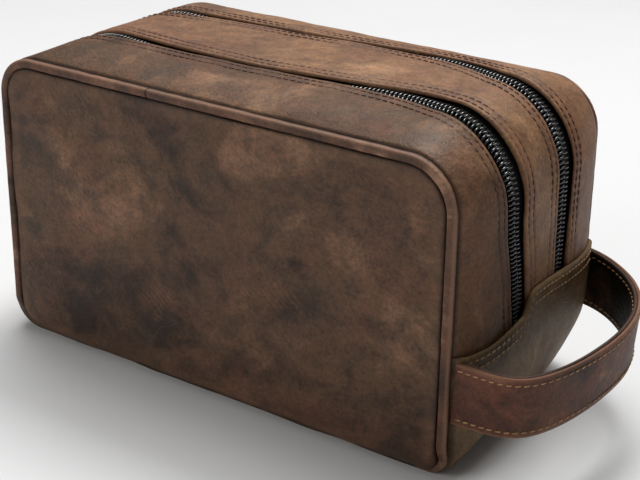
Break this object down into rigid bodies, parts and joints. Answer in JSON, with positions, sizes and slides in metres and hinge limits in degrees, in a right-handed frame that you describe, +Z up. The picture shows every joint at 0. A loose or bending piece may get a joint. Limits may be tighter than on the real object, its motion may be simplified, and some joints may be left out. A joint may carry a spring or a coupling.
{
  "type": "shaving kit bag",
  "caption": "Boxy leather shaving kit bag with piped seams, paired zips over the top and down the ends, and a stitched loop handle.",
  "frame": {"origin": "on the floor under the middle of the bag", "axes": "+Z up, +X towards the end with the loop handle, -Y out of the front panel"},
  "size_m": [0.3187, 0.1356, 0.1546],
  "materials": {
    "leather": "waxed pull-up leather, mottled dark brown",
    "piping": "the same leather, rubbed on its ridge",
    "strap_leather": "the same leather, two layers, cut edges",
    "lining": "plain woven nylon",
    "divider": "fabric over thin foam",
    "board": "stiffening board",
    "cord": "twisted cord inside the piping",
    "zip_tape": "woven polyester tape",
    "zip_coil": "moulded nylon coil",
    "zip_metal": "antique brass plating"
  },
  "bodies": {
    "bag": {"base_board": "board", "base_panel": "leather", "divider": "divider", "front_handle_end": "strap_leather", "front_lining_tub": "lining", "front_panel_lower": "leather", "front_piping_core_lower": "cord", "front_piping_lower": "piping", "front_zip_coil_inner": "zip_coil", "front_zip_tape_inner": "zip_tape", "middle_band": "leather", "rear_handle_end": "strap_leather", "rear_lining_tub": "lining", "rear_panel_lower": "leather", "rear_piping_core_lower": "cord", "rear_piping_lower": "piping", "rear_zip_coil_inner": "zip_coil", "rear_zip_tape_inner": "zip_tape"},
    "front_wall": {"front_band": "leather", "front_lining_hood": "lining", "front_panel_upper": "leather", "front_piping_core_upper": "cord", "front_piping_upper": "piping", "front_zip_coil_outer": "zip_coil", "front_zip_tape_outer": "zip_tape"},
    "rear_wall": {"rear_band": "leather", "rear_lining_hood": "lining", "rear_panel_upper": "leather", "rear_piping_core_upper": "cord", "rear_piping_upper": "piping", "rear_zip_coil_outer": "zip_coil", "rear_zip_tape_outer": "zip_tape"},
    "front_slider_body": {"front_slider": "zip_metal"},
    "rear_slider_body": {"rear_slider": "zip_metal"},
    "front_pull_body": {"front_pull": "zip_metal"},
    "rear_pull_body": {"rear_pull": "zip_metal"},
    "handle": {"handle_strap_inner": "strap_leather", "handle_strap_outer": "strap_leather"}
  },
  "joints": [
    {"name": "front_wall_fold", "type": "hinge", "parent": "bag", "child": "front_wall", "pos_m": [0, -0.068, 0.06], "axis": [1, 0, 0], "range_deg": [0, 25]},
    {"name": "front_zip_travel", "type": "slide", "parent": "bag", "child": "front_slider_body", "axis": [0, 0, 1], "range_m": [0, 0.038]},
    {"name": "front_pull_swing", "type": "hinge", "parent": "front_slider_body", "child": "front_pull_body", "pos_m": [-0.1381, -0.025, 0.072], "axis": [0, 1, 0], "range_deg": [0, 165]},
    {"name": "rear_wall_fold", "type": "hinge", "parent": "bag", "child": "rear_wall", "pos_m": [0, 0.068, 0.06], "axis": [-1, 0, 0], "range_deg": [0, 25]},
    {"name": "rear_zip_travel", "type": "slide", "parent": "bag", "child": "rear_slider_body", "axis": [0, 0, 1], "range_m": [0, 0.038]},
    {"name": "rear_pull_swing", "type": "hinge", "parent": "rear_slider_body", "child": "rear_pull_body", "pos_m": [-0.1381, 0.025, 0.072], "axis": [0, 1, 0], "range_deg": [0, 165]},
    {"name": "handle_swing", "type": "hinge", "parent": "bag", "child": "handle", "pos_m": [0.128, 0, 0.045], "axis": [0, -1, 0], "range_deg": [-30, 25]}
  ]
}
